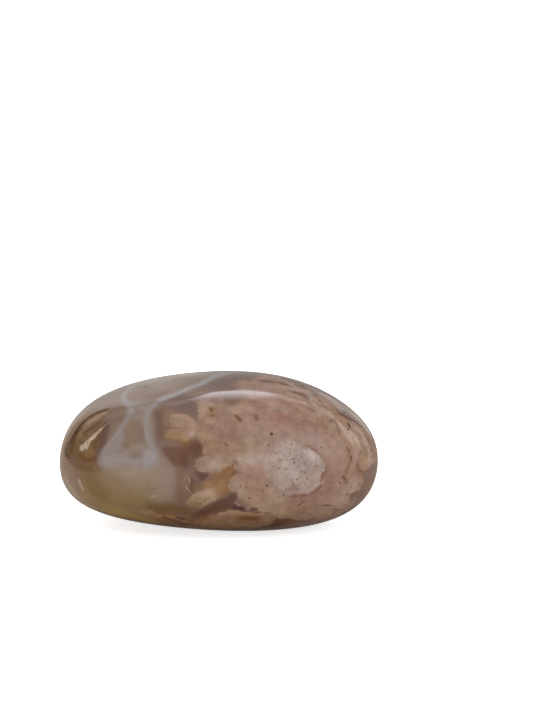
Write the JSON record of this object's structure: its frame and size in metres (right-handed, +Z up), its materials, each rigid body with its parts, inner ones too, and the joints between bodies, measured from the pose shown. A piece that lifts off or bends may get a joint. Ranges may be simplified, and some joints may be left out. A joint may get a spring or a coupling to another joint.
{
  "type": "flower agate palm stone",
  "caption": "Polished flower agate palm stone: an oval pebble, rounded all over, that lies on a small flat spot on its underside.",
  "frame": {"origin": "middle of the stone's bounding box, on the plane of its resting spot", "axes": "+X along the length, to the right when facing the flowered face, +Y away from that face, +Z up"},
  "size_m": [0.0616, 0.0414, 0.0291],
  "materials": {
    "agate": "glossy hand polish; slightly translucent grey-mauve chalcedony with pinkish-tan plumes, milky bands and a honey-coloured end"
  },
  "bodies": {
    "root": {"stone": "agate"}
  },
  "joints": []
}
